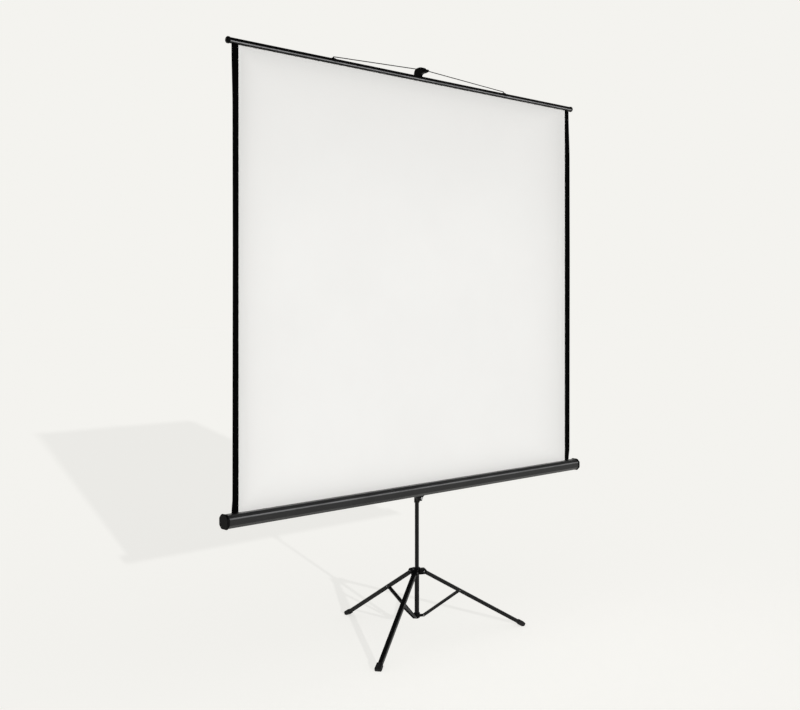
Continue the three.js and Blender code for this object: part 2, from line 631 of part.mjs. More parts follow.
// Sliding carrier with a flared saddle and the boss that the casing pivots on
function buildCarrier() {
  const outer = slideBore + CARRIER_WALL;
  const bottom = ROLLER_HEIGHT - CARRIER_BOTTOM;
  const top = ROLLER_HEIGHT + CARRIER_TOP;
  const bossFace = -(plateBack + FIT_GAP);
  const sleeve = rod(outer, bottom, top);

  const flare = new THREE.Shape();
  flare.moveTo(-outer, -FLARE_BOTTOM);
  flare.lineTo(outer, -FLARE_BOTTOM);
  flare.quadraticCurveTo(outer, -FLARE_SHOULDER, FLARE_HALF, -FLARE_SHOULDER);
  flare.lineTo(FLARE_HALF, -FLARE_TOP);
  flare.lineTo(-FLARE_HALF, -FLARE_TOP);
  flare.lineTo(-FLARE_HALF, -FLARE_SHOULDER);
  flare.quadraticCurveTo(-outer, -FLARE_SHOULDER, -outer, -FLARE_BOTTOM);
  const saddleFront = outer + FLARE_FORWARD;
  const saddle = plate(flare, FLARE_THICKNESS).translate(0, FLARE_THICKNESS / 2 - saddleFront, ROLLER_HEIGHT);

  const boss = alongY(rod(PIVOT_BOSS_DIAMETER / 2, outer / 2, bossFace)).rotateZ(Math.PI);
  boss.translate(0, 0, ROLLER_HEIGHT);
  const knobHeight = ROLLER_HEIGHT - KNOB_DROP;
  const knobFace = outer + KNOB_BOSS_LENGTH;
  const knobBoss = alongX(rod(KNOB_BOSS_DIAMETER / 2, outer / 2, knobFace)).translate(0, 0, knobHeight);

  const boltStart = outer + FIT_GAP;
  const boltHole = alongY(rod(PIVOT_BOLT_DIAMETER / 2 + FIT_GAP, boltStart, 2 * bossFace)).rotateZ(Math.PI);
  boltHole.translate(0, 0, ROLLER_HEIGHT);
  const screwHole = alongX(rod(KNOB_SCREW_DIAMETER / 2 + FIT_GAP, 0, 2 * knobFace));
  screwHole.translate(0, 0, knobHeight);
  const mastHole = rod(slideBore, bottom - CARRIER_WALL, top + CARRIER_WALL);
  const body = join(sleeve, saddle, boss, knobBoss);
  add('carrier_bracket', cut(body, mastHole, boltHole, screwHole), blackPaint());

  const knobSteps = KNOB_LOBES * LOBE_STEPS;
  const knobOutline = Array.from({ length: knobSteps }, (_, i) => {
    const angle = (2 * Math.PI * i) / knobSteps;
    const r = KNOB_DIAMETER / 2 - KNOB_LOBE_DEPTH * (1 - Math.cos(KNOB_LOBES * angle));
    return at(r * Math.cos(angle), r * Math.sin(angle));
  });
  const grip = prism(new THREE.Shape(knobOutline), KNOB_LENGTH, KNOB_EDGE);
  grip.translate(knobFace + FIT_GAP, 0, 0);
  const screw = alongX(rod(KNOB_SCREW_DIAMETER / 2, slideBore, knobFace + KNOB_LENGTH / 2, PIN_SIDES));
  add('carrier_knob', join(grip, screw), greySteel()).position.z = knobHeight;

  buildCasePivot(boltStart);
}

// Plate on the casing's rear facet, its rivets, and the bolt that it turns on
function buildCasePivot(boltStart) {
  const x = PLATE_LENGTH / 2;
  const z = PLATE_HEIGHT / 2;
  const outline = roundedOutline([at(-x, -z), at(x, -z), at(x, z), at(-x, z)], PLATE_ROUND);
  const strip = plate(outline, PLATE_THICKNESS).translate(0, PLATE_THICKNESS / 2, 0);
  const through = PLATE_THICKNESS * 2;
  const boltHole = crossBore(PIVOT_BOLT_DIAMETER, through);
  const headSeat = alongY(rod(PIVOT_HEAD_DIAMETER / 2 + FIT_GAP, -FIT_GAP, PIVOT_HEAD + 2 * FIT_GAP));
  const rivetPlaces = { left: -PLATE_RIVET_SPACING / 2, right: PLATE_RIVET_SPACING / 2 };
  const rivetHole = (place) => crossBore(PLATE_RIVET_DIAMETER, through, place);
  const rivetHoles = Object.values(rivetPlaces).map(rivetHole);
  const front = caseBack + FIT_GAP;
  add('pivot_plate', cut(strip, boltHole, headSeat, ...rivetHoles), blackPaint())
    .position.set(0, front, ROLLER_HEIGHT);

  const boltHead = PIVOT_HEAD_DIAMETER / 2;
  const boltRadius = PIVOT_BOLT_DIAMETER / 2;
  const boltLength = -boltStart - front - 2 * FIT_GAP;
  const bolt = revolved([
    [0, 0], [boltHead, 0], [boltHead, PIVOT_HEAD],
    [boltRadius, PIVOT_HEAD], [boltRadius, boltLength], [0, boltLength],
  ], PIN_SIDES);
  add('pivot_bolt', alongY(bolt), greySteel()).position.set(0, front + FIT_GAP, ROLLER_HEIGHT);

  const grip = CASE_WALL + PLATE_THICKNESS + 3 * FIT_GAP;
  const middle = caseBack - CASE_WALL - FIT_GAP + grip / 2;
  for (const [side, place] of Object.entries(rivetPlaces)) {
    const body = rivet(PLATE_RIVET_DIAMETER, grip, PLATE_RIVET_HEAD_DIAMETER, PLATE_RIVET_HEAD);
    add(`plate_rivet_${side}`, alongY(body), greySteel()).position.set(place, middle, ROLLER_HEIGHT);
  }
}

// Folded sheet casing with a lipped slit for the fabric in its upper facet
function buildCasing() {
  const slitRear = ROLLER_OFFSET + SLIT_WIDTH / 2;
  const slitFront = ROLLER_OFFSET - SLIT_WIDTH / 2;
  const top = CASE_HEIGHT / 2;
  const under = top - CASE_WALL;
  const outside = roundedPath([at(slitRear, top), ...octagon(0), at(slitFront, top)], CASE_EDGE);
  const innerEnds = [at(slitRear + CASE_WALL, under), at(slitFront - CASE_WALL, under)];
  const innerCorners = [innerEnds[0], ...octagon(CASE_WALL), innerEnds[1]];
  const inside = roundedPath(innerCorners, CASE_EDGE - CASE_WALL).reverse();
  const frontLip = [at(slitFront, top - SLIT_LIP), at(slitFront - CASE_WALL, top - SLIT_LIP)];
  const rearLip = [at(slitRear + CASE_WALL, top - SLIT_LIP), at(slitRear, top - SLIT_LIP)];
  const section = new THREE.Shape([...outside, ...frontLip, ...inside, ...rearLip]);
  const shell = prism(section, 2 * caseHalf).translate(-caseHalf, 0, 0);
  const rivetHoles = [-1, 1].map((side) => {
    const hole = crossBore(PLATE_RIVET_DIAMETER, CASE_WALL * 3, (side * PLATE_RIVET_SPACING) / 2);
    return hole.translate(0, CASE_DEPTH / 2, 0);
  });
  add('casing_shell', cut(shell, ...rivetHoles), blackPaint()).position.set(0, rollerY, ROLLER_HEIGHT);

  const lipsWidth = SLIT_WIDTH + 2 * (CASE_WALL + FIT_GAP);
  const lipsDepth = SLIT_LIP + FIT_GAP;
  for (const [side, facing] of [['left', -1], ['right', 1]]) {
    const flange = prism(roundedOutline(octagon(-CAP_GROWTH), CAP_ROUND), CAP_LENGTH, CAP_BEVEL);
    flange.translate(FIT_GAP, 0, 0);
    const spigotOutline = roundedOutline(octagon(CASE_WALL + FIT_GAP), CASE_EDGE);
    const spigot = prism(spigotOutline, CAP_SPIGOT + CAP_LENGTH / 2).translate(-CAP_SPIGOT, 0, 0);
    const notch = new THREE.BoxGeometry(CAP_SPIGOT * 2, lipsWidth, lipsDepth * 2);
    notch.translate(-CAP_SPIGOT, ROLLER_OFFSET, top);
    const bore = alongX(rod(gudgeonRadius + RUN_GAP, -2 * CAP_SPIGOT, CAP_LENGTH / 2, PIN_SIDES));
    const cap = cut(join(flange, spigot), notch, bore);
    if (facing < 0) mirrorX(cap);
    add(`end_cap_${side}`, cap, blackPlastic()).position.set(facing * caseHalf, rollerY, ROLLER_HEIGHT);
  }
}

// Mirror across the YZ plane, with the faces turned to point out again
function mirrorX(geometry) {
  geometry.scale(-1, 1, 1);
  const position = geometry.attributes.position;
  for (let i = 0; i < position.count; i += 3) {
    const [x, y, z] = [position.getX(i + 1), position.getY(i + 1), position.getZ(i + 1)];
    position.setXYZ(i + 1, position.getX(i + 2), position.getY(i + 2), position.getZ(i + 2));
    position.setXYZ(i + 2, x, y, z);
  }
  geometry.computeVertexNormals();
  return geometry;
}

// Least distance between the surfaces of a helix's own turns
function leastGap(points, wireDiameter, stepsPerTurn) {
  let least = Infinity;
  points.forEach((p, i) => {
    for (let j = i + Math.floor(stepsPerTurn / 2); j < points.length; j += 1) {
      least = Math.min(least, p.distanceTo(points[j]) - wireDiameter);
    }
  });
  return least;
}

// Roller tube with the last turns of fabric, its two bearings, and the return spring on a fixed shaft
function buildRoller() {
  const roller = new THREE.Group();
  roller.position.set(0, rollerY, ROLLER_HEIGHT);
  screen.add(roller);
  const plug = rollerBore - FIT_GAP;
  const fabricHalf = FABRIC_WIDTH / 2;
  add('roller_tube', alongX(ring(rollerRadius, rollerBore, -rollerHalf, rollerHalf)), greySteel(), roller);
  const wound = ring(rollRadius, rollerRadius + FIT_GAP, -fabricHalf, fabricHalf);
  add('fabric_roll', alongX(wound), whiteFabric(), roller);

  const pinEnd = caseHalf + CAP_LENGTH / 2 - FIT_GAP;
  const gudgeon = revolved([
    [0, -pinEnd], [gudgeonRadius, -pinEnd], [gudgeonRadius, -rollerHalf], [plug, -rollerHalf],
    [plug, ROLLER_PLUG - rollerHalf], [0, ROLLER_PLUG - rollerHalf],
  ]);
  add('roller_gudgeon', alongX(gudgeon), blackPlastic(), roller);
  const bush = ring(plug, gudgeonRadius + RUN_GAP, rollerHalf - ROLLER_PLUG, rollerHalf);
  add('roller_bush', alongX(bush), blackPlastic(), roller);
  const shaftStart = rollerHalf - ROLLER_PLUG - SPRING_SHAFT;
  add('spring_shaft', alongX(rod(gudgeonRadius, shaftStart, pinEnd)), greySteel(), roller);

  const coilStart = rollerHalf - ROLLER_PLUG - SPRING_LENGTH - SPRING_WIRE;
  const coilRadius = gudgeonRadius + RUN_GAP + SPRING_WIRE / 2;
  const reach = coilRadius / Math.cos(Math.PI / SPRING_STEPS);
  const count = SPRING_TURNS * SPRING_STEPS;
  const points = Array.from({ length: count + 1 }, (_, i) => {
    const angle = (2 * Math.PI * i) / SPRING_STEPS;
    const x = coilStart + (SPRING_LENGTH * i) / count;
    return new THREE.Vector3(x, reach * Math.cos(angle), reach * Math.sin(angle));
  });
  const gap = leastGap(points, SPRING_WIRE, SPRING_STEPS);
  console.log(`return spring: least gap between turns ${gap.toFixed(2)} mm`);
  add('return_spring', wire(points, SPRING_WIRE / 2, SPRING_SIDES), greySteel(), roller);
}

// Screen fabric from the roller up into the slat, its side edges drawn in at mid height
function buildFabric() {
  const half = FABRIC_WIDTH / 2;
  const middle = (ROLLER_HEIGHT + SLAT_HEIGHT) / 2;
  const straight = CASE_HEIGHT / 2 + CASE_WALL;
  const foot = ROLLER_HEIGHT + straight;
  const head = SLAT_HEIGHT - slatRadius;
  const pull = half - 2 * FABRIC_WAIST;
  const outline = new THREE.Shape();
  outline.moveTo(-half, ROLLER_HEIGHT);
  outline.lineTo(half, ROLLER_HEIGHT);
  outline.lineTo(half, foot);
  outline.quadraticCurveTo(pull, middle, half, head);
  outline.lineTo(half, SLAT_HEIGHT);
  outline.lineTo(-half, SLAT_HEIGHT);
  outline.lineTo(-half, head);
  outline.quadraticCurveTo(-pull, middle, -half, foot);
  add('fabric', plate(outline, FABRIC_THICKNESS), whiteFabric()).position.y = fabricY;
}

// Slat: a slit tube that grips the fabric's top edge, with a cap at each end
function buildSlat() {
  const slat = new THREE.Group();
  slat.position.set(0, fabricY, SLAT_HEIGHT);
  screen.add(slat);
  const outerAngle = Math.asin(SLAT_SLIT / 2 / slatRadius);
  const innerAngle = Math.asin(SLAT_SLIT / 2 / slatBore);
  const section = new THREE.Shape();
  section.absarc(0, 0, slatRadius, outerAngle - Math.PI / 2, 1.5 * Math.PI - outerAngle, false);
  section.absarc(0, 0, slatBore, 1.5 * Math.PI - innerAngle, innerAngle - Math.PI / 2, true);
  const tube = prism(section, 2 * slatHalf, 0, ROUND_SIDES / 2).translate(-slatHalf, 0, 0);
  add('slat_tube', tube, blackPaint(), slat);

  const capRadius = SLAT_CAP_DIAMETER / 2;
  const spigot = slatBore - FIT_GAP;
  const rim = FIT_GAP + SLAT_CAP_RIM;
  const profile = [
    [0, -SLAT_SPIGOT], [spigot, -SLAT_SPIGOT], [spigot, FIT_GAP], [capRadius, FIT_GAP],
    ...dome(capRadius, FIT_GAP + SLAT_CAP_LENGTH, rim, EDGE_STEPS).reverse(),
  ];
  for (const [side, facing] of [['left', -1], ['right', 1]]) {
    const cap = add(`slat_cap_${side}`, revolved(profile), blackPlastic(), slat);
    cap.rotation.y = (facing * Math.PI) / 2;
    cap.position.x = facing * slatHalf;
    buildBailClip(side, facing, slat);
  }
  buildBail(slat);
}

// Saddle over the slat with a drilled boss for one end of the bail
function buildBailClip(side, facing, slat) {
  const saddle = new THREE.Shape();
  const inner = slatRadius + FIT_GAP;
  saddle.absarc(0, 0, clipRadius, -CLIP_WRAP, Math.PI + CLIP_WRAP, false);
  saddle.absarc(0, 0, inner, Math.PI + CLIP_WRAP, -CLIP_WRAP, true);
  const band = prism(saddle, CLIP_LENGTH, 0, ROUND_SIDES / 2).translate(-CLIP_LENGTH / 2, 0, 0);
  const boss = rod(CLIP_BOSS_DIAMETER / 2, clipRadius - CLIP_WALL / 2, clipRadius + CLIP_BOSS, PIN_SIDES);
  const bore = rod(BAIL_WIRE / 2 + FIT_GAP, 0, 2 * clipRadius, PIN_SIDES);
  const clip = add(`bail_clip_${side}`, cut(join(band, boss), bore), blackPaint(), slat);
  clip.position.x = facing * BAIL_HALF_SPAN;
}

// Blackened spring-wire bail: a shallow arch with turned-down ends and a level stretch in the hook
function buildBail(slat) {
  const foot = slatRadius + 2 * FIT_GAP;
  const halfRoute = [[-BAIL_HALF_SPAN, foot], [-BAIL_HALF_SPAN, bailShoulder], [-BAIL_FLAT, BAIL_RISE]];
  const mirrored = halfRoute.map(([x, z]) => [-x, z]).reverse();
  const corners = [...halfRoute, ...mirrored].map(([x, z]) => at(x, z));
  const route = roundedPath(corners, BAIL_BEND, ARC_STEPS).map((p) => new THREE.Vector3(p.x, 0, p.y));
  add('bail_wire', wire(route, BAIL_WIRE / 2), blackPaint(), slat);
}

// Pole and the hook that carries the bail, drawn from the side about the slat's height
function buildPole() {
  const poleTop = SLAT_HEIGHT + HOOK_SOCKET - FIT_GAP;
  add('extension_pole', ring(poleRadius, poleRadius - POLE_WALL, POLE_BOTTOM, poleTop), greySteel());

  const stem = poleRadius + FIT_GAP + HOOK_WALL;
  const seat = BAIL_WIRE / 2 + RUN_GAP;
  const bailAt = FABRIC_SETBACK;
  const crown = BAIL_RISE + HOOK_TOP;
  const lip = BAIL_RISE + seat + HOOK_LIP;
  const chin = BAIL_RISE - HOOK_CHIN;
  const nose = bailAt + HOOK_REACH;
  const outline = new THREE.Shape();
  outline.moveTo(stem, -HOOK_SKIRT);
  outline.lineTo(stem, chin);
  outline.quadraticCurveTo(stem, crown, -HOOK_HUMP, crown);
  outline.quadraticCurveTo(HOOK_MOUTH - bailAt, crown, seat - bailAt, BAIL_RISE + HOOK_MOUTH);
  outline.lineTo(seat - bailAt, BAIL_RISE);
  outline.absarc(-bailAt, BAIL_RISE, seat, 0, Math.PI, true);
  outline.lineTo(-bailAt - seat, lip);
  outline.quadraticCurveTo(-nose, lip, -nose, BAIL_RISE);
  outline.quadraticCurveTo(-nose, chin, HOOK_CHIN - bailAt, chin);
  outline.quadraticCurveTo(-HOOK_THROAT, chin, -HOOK_THROAT, slatRadius);
  outline.lineTo(-stem, -HOOK_GUSSET);
  outline.lineTo(-stem, -HOOK_SKIRT);
  const body = plate(outline, HOOK_WIDTH, HOOK_BEVEL).rotateZ(Math.PI / 2);
  const socket = rod(poleRadius + FIT_GAP, -2 * HOOK_SKIRT, HOOK_SOCKET);
  add('pole_hook', cut(body, socket), blackPlastic()).position.z = SLAT_HEIGHT;
}

buildTripod();
buildMastTop();
buildCarrier();
buildCasing();
buildRoller();
buildFabric();
buildSlat();
buildPole();

// The origin lies on the floor, in the middle of the ground that the screen covers
const footprint = new THREE.Box3().setFromObject(screen, true).getCenter(new THREE.Vector3());
screen.position.set(-footprint.x, -footprint.y, 0);

export default screen;
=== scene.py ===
# Looks of a tripod projection screen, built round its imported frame.
# Metres, +Z up. The picture side of the screen faces -Y.

import json
import math

import bpy
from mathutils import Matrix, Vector, noise


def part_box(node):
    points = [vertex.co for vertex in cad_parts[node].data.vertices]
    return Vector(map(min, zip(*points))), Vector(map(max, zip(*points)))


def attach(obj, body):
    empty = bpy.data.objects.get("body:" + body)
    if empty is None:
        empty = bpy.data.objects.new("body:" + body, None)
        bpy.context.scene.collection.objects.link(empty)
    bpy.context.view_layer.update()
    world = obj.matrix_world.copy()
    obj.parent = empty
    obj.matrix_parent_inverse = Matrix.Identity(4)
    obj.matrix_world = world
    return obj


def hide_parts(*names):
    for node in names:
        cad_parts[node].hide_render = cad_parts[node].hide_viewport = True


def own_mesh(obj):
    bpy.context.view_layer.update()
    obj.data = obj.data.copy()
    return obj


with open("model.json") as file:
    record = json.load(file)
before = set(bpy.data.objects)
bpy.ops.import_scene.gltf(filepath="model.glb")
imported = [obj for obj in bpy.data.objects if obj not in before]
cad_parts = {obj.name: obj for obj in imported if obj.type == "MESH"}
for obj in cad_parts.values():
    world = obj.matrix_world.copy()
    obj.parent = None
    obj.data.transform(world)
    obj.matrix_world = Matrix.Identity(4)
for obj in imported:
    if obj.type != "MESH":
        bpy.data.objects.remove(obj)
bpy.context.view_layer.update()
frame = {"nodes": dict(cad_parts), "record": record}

# Camera, as fitted to the photograph
IMAGE_WIDTH = 800
IMAGE_HEIGHT = 710
FOCAL_PIXELS = 1100.6
PRINCIPAL_X = 531.3
PRINCIPAL_Y = 305.3
CAMERA_PLACE = (-3.354, -3.8787, 1.5015)
CAMERA_TURN = math.radians(47.7)  # from +Y towards +X
SENSOR_WIDTH = 36

# Light and backdrop
BACKDROP = (0.904, 0.896, 0.863)
FLOOR_COLOUR = (0.4, 0.396, 0.382)
FLOOR_HALF = 60
SKY_COLOUR = (1, 1, 1)
SKY_STRENGTH = 0.38
SUN_STRENGTH = 2.26
SUN_HEIGHT = math.radians(14.5)
SUN_TURN = math.radians(19.5)  # the light travels this far from +Y towards +X
SUN_WIDTH = math.radians(0.8)

# Brightness of the room in reflections, against the backdrop's, and where it changes along a direction
ROOM_SHADE = 0.05  # on the viewer's side
ROOM_FADE = (-0.3, 0.5)
CEILING_SHADE = 0.05
CEILING_FADE = (0.2, 0.7)

# Finishes
COOL = 1.02  # blue of a grey, against its red and green
NOISE_LOW = 0.3  # noise lies mostly between these two values
NOISE_HIGH = 0.7
PATCH_DETAIL = 4.0
GRAIN_DETAIL = 2.0
GRAIN_STRENGTH = 0.25
FINE_RELIEF = 0.0001
RUBBER_RELIEF = 0.0002
# also the share of a painted highlight line's strength that its faintest patches keep
LEAST_WEAR_OR_HIGHLIGHT = 0.5  # share of the wear that the least rubbed patches have

# Worn edges: the angles between a face and its rounded edge where the wear starts and is full
EDGE_RADIUS = 0.0007
EDGE_SAMPLES = 6
EDGE_START = math.radians(6)
EDGE_FULL = math.radians(24)

# Painted highlights: light lines along the casing's upper front fold and the slat's front
CASING_CHAMFER = 0.013
FOLD_HIGHLIGHT_CORE = 0.001  # half width at full wear
FOLD_HIGHLIGHT_REACH = 0.0045
SLAT_HIGHLIGHT_CORE = 0.0005
SLAT_HIGHLIGHT_REACH = 0.0028
SLAT_HIGHLIGHT_TURN = math.radians(22)  # below the slat's foremost line

# Surfaces of the fabric
WHITE_TONES = ((0.91, 0.904, 0.883), (0.95, 0.944, 0.922))
# colour of the painted shade along the picture's edges and over its upper part
WHITE_PAINTED_SHADE = (0.765, 0.76, 0.742)
WHITE_ROUGHNESS = 0.85
WHITE_SHEEN = 0.05
WHITE_SPECULAR = 0.1
MOTTLE_SCALE = 3
MOTTLE_DETAIL = 5.0
BLACK_ROUGHNESS = (0.78, 0.9)
BLACK_PATCH = 20
THREAD = 0.0009
WAVE_RATE = 20  # radians that the wave texture turns by, per metre and unit of its scale
WEAVE_STRENGTH = 0.3
# painted shade along the picture's edges and beside the casing and slat: how far it reaches in, on the
# left and at the ends, and on the right
SHADE_REACH = 0.045  # how far the greyer edge of the picture reaches in
RIGHT_SHADE_REACH = 0.1
# painted shade over the upper part of the picture: its share at the slat, and how far down it reaches
UPPER_SHADE = 0.37
UPPER_SHADE_REACH = 0.9

# Shape of the fabric
BORDER_WIDTH = 0.031
EDGE_CURL = 0.0088  # how far the side edges come forward
CURL_REACH = 0.045
RIPPLE_DEPTH = 0.0012
RIPPLE_WIDTH = 0.012
RIPPLE_PLACE = 0.024  # from the border's inner edge
RIPPLE_WANDER = 0.006
WANDER_RATE = 2.6  # bends of the ripple per metre of height
SLAT_HOLD = 0.25  # length below the slat over which it keeps the fabric flat
SLAT_REACH = 0.75  # length over which the curl still grows
CASING_HOLD = 0.06
CASING_REACH = 1.0
HELD_CURL = 0.75  # share of the curl that comes within the hold
BORDER_COLUMNS = 5
FINE_STEP = 0.006  # between the columns beside the borders
FINE_COLUMNS = 18
COARSE_COLUMNS = 16
FABRIC_ROWS = 74
WHITE, BLACK, BACK = range(3)  # materials of the fabric's faces
SHEET_THICKNESS = 0.0005  # one wound turn
WOUND_TURNS = 2
STEPS_PER_TURN = 48
CREASE_ANGLE = math.radians(40)

# Thumb-screw on the front of the casing's saddle
SADDLE_FORWARD = 0.009  # saddle's front past the carrier's tube
SCREW_ASIDE = 0.0075
SCREW_DROP = 0.0495  # below the roller's axis
SCREW_RADIUS = 0.0065
SCREW_HEIGHT = 0.006
# Shares of the radius and the height, from the saddle outwards
SCREW_PROFILE = ((0.88, 0.0), (1.0, 0.12), (1.0, 0.68), (0.93, 0.84), (0.72, 0.95), (0.4, 1.0))
SCREW_LOBES = 10
SCREW_STEPS = 60
LOBE_DEPTH = 0.07

# Nodes with a finish of their own, besides pins and rivets
OWN_FINISH = {"casing_shell": "casing", "slat_tube": "enamel", "bail_wire": "wire"}

fabric_low, fabric_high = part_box("fabric")
casing_low, casing_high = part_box("casing_shell")
slat_low, slat_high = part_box("slat_tube")
roller_low, roller_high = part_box("roller_tube")
roll_low, roll_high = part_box("fabric_roll")
fabric_half = fabric_high.x
fabric_y = (fabric_low.y + fabric_high.y) / 2
fabric_thickness = fabric_high.y - fabric_low.y
drawn = fabric_high.z - fabric_low.z


# Shader nodes: an input is a value to set or another node's output to link
def add_node(tree, kind, inputs=None, **settings):
    node = tree.nodes.new("ShaderNode" + kind)
    for name, value in settings.items():
        setattr(node, name, value)
    for socket, value in (inputs or {}).items():
        if isinstance(value, bpy.types.NodeSocket):
            tree.links.new(value, node.inputs[socket])
        else:
            node.inputs[socket].default_value = value
    return node


def calculate(tree, operation, first, second):
    return add_node(tree, "Math", {0: first, 1: second}, operation=operation).outputs[0]


def average(tree, first, second):
    return calculate(tree, "MULTIPLY", calculate(tree, "ADD", first, second), 0.5)


def vector_value(tree, operation, first, second):
    return add_node(tree, "VectorMath", {0: first, 1: second}, operation=operation).outputs["Value"]


def remap(tree, value, start, end, low, high):
    limits = {"Value": value, "From Min": start, "From Max": end, "To Min": low, "To Max": high}
    return add_node(tree, "MapRange", limits).outputs["Result"]


# Camera and light
def make_camera():
    data = bpy.data.cameras.new("camera")
    data.sensor_width = SENSOR_WIDTH
    data.lens = FOCAL_PIXELS * SENSOR_WIDTH / IMAGE_WIDTH
    data.shift_x = (IMAGE_WIDTH / 2 - PRINCIPAL_X) / IMAGE_WIDTH
    data.shift_y = (PRINCIPAL_Y - IMAGE_HEIGHT / 2) / IMAGE_WIDTH
    camera = bpy.data.objects.new("camera", data)
    camera.location = CAMERA_PLACE
    camera.rotation_euler = (math.pi / 2, 0, -CAMERA_TURN)
    bpy.context.scene.collection.objects.link(camera)
    bpy.context.scene.camera = camera


def make_sun():
    data = bpy.data.lights.new("key", "SUN")
    data.energy = SUN_STRENGTH
    data.angle = SUN_WIDTH
    sun = bpy.data.objects.new("key", data)
    level = math.cos(SUN_HEIGHT)
    travel = Vector((math.sin(SUN_TURN) * level, math.cos(SUN_TURN) * level, -math.sin(SUN_HEIGHT)))
    sun.rotation_mode = "QUATERNION"
    sun.rotation_quaternion = travel.to_track_quat("-Z", "Y")
    bpy.context.scene.collection.objects.link(sun)


# 1 for what the camera sees directly, in a reflection or through glass, and 0 for diffuse light
def seen_directly(tree):
    path = add_node(tree, "LightPath").outputs
    reflected = calculate(tree, "MAXIMUM", path["Is Glossy Ray"], path["Is Transmission Ray"])
    return calculate(tree, "MAXIMUM", path["Is Camera Ray"], reflected)


# Reflections see the pale backdrop behind the screen, a dimmer room on the viewer's side and a dim ceiling
def reflected_room(tree):
    direction = add_node(tree, "TexCoord").outputs["Generated"]
    to_backdrop = (math.sin(CAMERA_TURN), math.cos(CAMERA_TURN), 0)
    depth = vector_value(tree, "DOT_PRODUCT", direction, to_backdrop)
    room = remap(tree, depth, *ROOM_FADE, ROOM_SHADE, 1)
    height = add_node(tree, "SeparateXYZ", {0: direction}).outputs["Z"]
    ceiling = remap(tree, height, *CEILING_FADE, 1, CEILING_SHADE)
    return calculate(tree, "MULTIPLY", room, ceiling)


def make_world():
    world = bpy.data.worlds.new("studio")
    world.use_nodes = True
    bpy.context.scene.world = world
    tree = world.node_tree
    tree.nodes.clear()
    light = add_node(tree, "Background", {"Color": (*SKY_COLOUR, 1), "Strength": SKY_STRENGTH})
    to_camera = add_node(tree, "LightPath").outputs["Is Camera Ray"]
    strength = calculate(tree, "MAXIMUM", to_camera, reflected_room(tree))
    shown = add_node(tree, "Background", {"Color": (*BACKDROP, 1), "Strength": strength})
    mix = add_node(tree, "MixShader", {0: seen_directly(tree), 1: light.outputs[0], 2: shown.outputs[0]})
    add_node(tree, "OutputWorld", {"Surface": mix.outputs[0]})


# The floor's glow makes up the difference between its lit colour and the backdrop, so that no seam shows
def make_floor():
    light = SKY_STRENGTH + SUN_STRENGTH * math.sin(SUN_HEIGHT) / math.pi
    missing = [shown - own * light for shown, own in zip(BACKDROP, FLOOR_COLOUR)]
    material = bpy.data.materials.new("floor")
    material.use_nodes = True
    tree = material.node_tree
    tree.nodes.clear()
    surface = add_node(tree, "BsdfDiffuse", {"Color": (*FLOOR_COLOUR, 1)})
    glow = add_node(tree, "Emission", {"Color": (*missing, 1), "Strength": seen_directly(tree)})
    both = add_node(tree, "AddShader", {0: surface.outputs[0], 1: glow.outputs[0]})
    add_node(tree, "OutputMaterial", {"Surface": both.outputs[0]})

    half = FLOOR_HALF
    corners = [(-half, -half, 0), (half, -half, 0), (half, half, 0), (-half, half, 0)]
    mesh = bpy.data.meshes.new("floor")
    mesh.from_pydata(corners, [], [(0, 1, 2, 3)])
    mesh.materials.append(material)
    floor = bpy.data.objects.new("floor", mesh)
    bpy.context.scene.collection.objects.link(floor)


# Parts of the materials
def new_material(name, metallic=0.0, specular=0.5):
    material = bpy.data.materials.new(name)
    material.use_nodes = True
    shader = material.node_tree.nodes["Principled BSDF"]
    shader.inputs["Metallic"].default_value = metallic
    shader.inputs["Specular IOR Level"].default_value = specular
    return material, material.node_tree, shader


def grey(value):
    return (value, value, value * COOL)


def place_of(tree, stretch=(1, 1, 1)):
    place = add_node(tree, "TexCoord").outputs["Object"]
    return add_node(tree, "Mapping", {"Vector": place, "Scale": stretch}).outputs["Vector"]


def noise_field(tree, place, scale, detail):
    field = add_node(tree, "TexNoise", {"Vector": place, "Scale": scale, "Detail": detail})
    return field.outputs["Fac"]


def spread(tree, value, low, high):
    return remap(tree, value, NOISE_LOW, NOISE_HIGH, low, high)


def colour_between(tree, share, low, high):
    mix = add_node(tree, "Mix", data_type="RGBA")
    colours = [socket for socket in mix.inputs if socket.type == "RGBA"]
    tree.links.new(share, mix.inputs["Factor"])
    for socket, colour in zip(colours, (low, high)):
        if isinstance(colour, bpy.types.NodeSocket):
            tree.links.new(colour, socket)
        else:
            socket.default_value = (*colour, 1)
    return next(socket for socket in mix.outputs if socket.type == "RGBA")


def add_bump(tree, shader, height, strength, distance, normal=None):
    inputs = {"Height": height, "Strength": strength, "Distance": distance}
    if normal:
        inputs["Normal"] = normal
    bump = add_node(tree, "Bump", inputs)
    tree.links.new(bump.outputs["Normal"], shader.inputs["Normal"])


def rounded_normals(tree):
    return add_node(tree, "Bevel", {"Radius": EDGE_RADIUS}, samples=EDGE_SAMPLES).outputs["Normal"]


# Masks: of the wear along every edge, or of a painted highlight along one line that runs in X
def rubbed_edges(tree, rounded):
    flat = add_node(tree, "NewGeometry").outputs["True Normal"]
    likeness = vector_value(tree, "DOT_PRODUCT", rounded, flat)
    return remap(tree, likeness, math.cos(EDGE_START), math.cos(EDGE_FULL), 0, 1)


# painted highlight: a lighter line at a given y and z, running in X
def painted_highlight_line(tree, y, z, core, reach):
    section = place_of(tree, (0, 1, 1))
    apart = vector_value(tree, "DISTANCE", section, (0, y, z))
    return remap(tree, apart, core, reach, 1, 0)


# A painted highlight line is its y and z, its half width at full strength and the distance where it ends
def casing_highlight_line():
    return casing_low.y, casing_high.z - CASING_CHAMFER, FOLD_HIGHLIGHT_CORE, FOLD_HIGHLIGHT_REACH


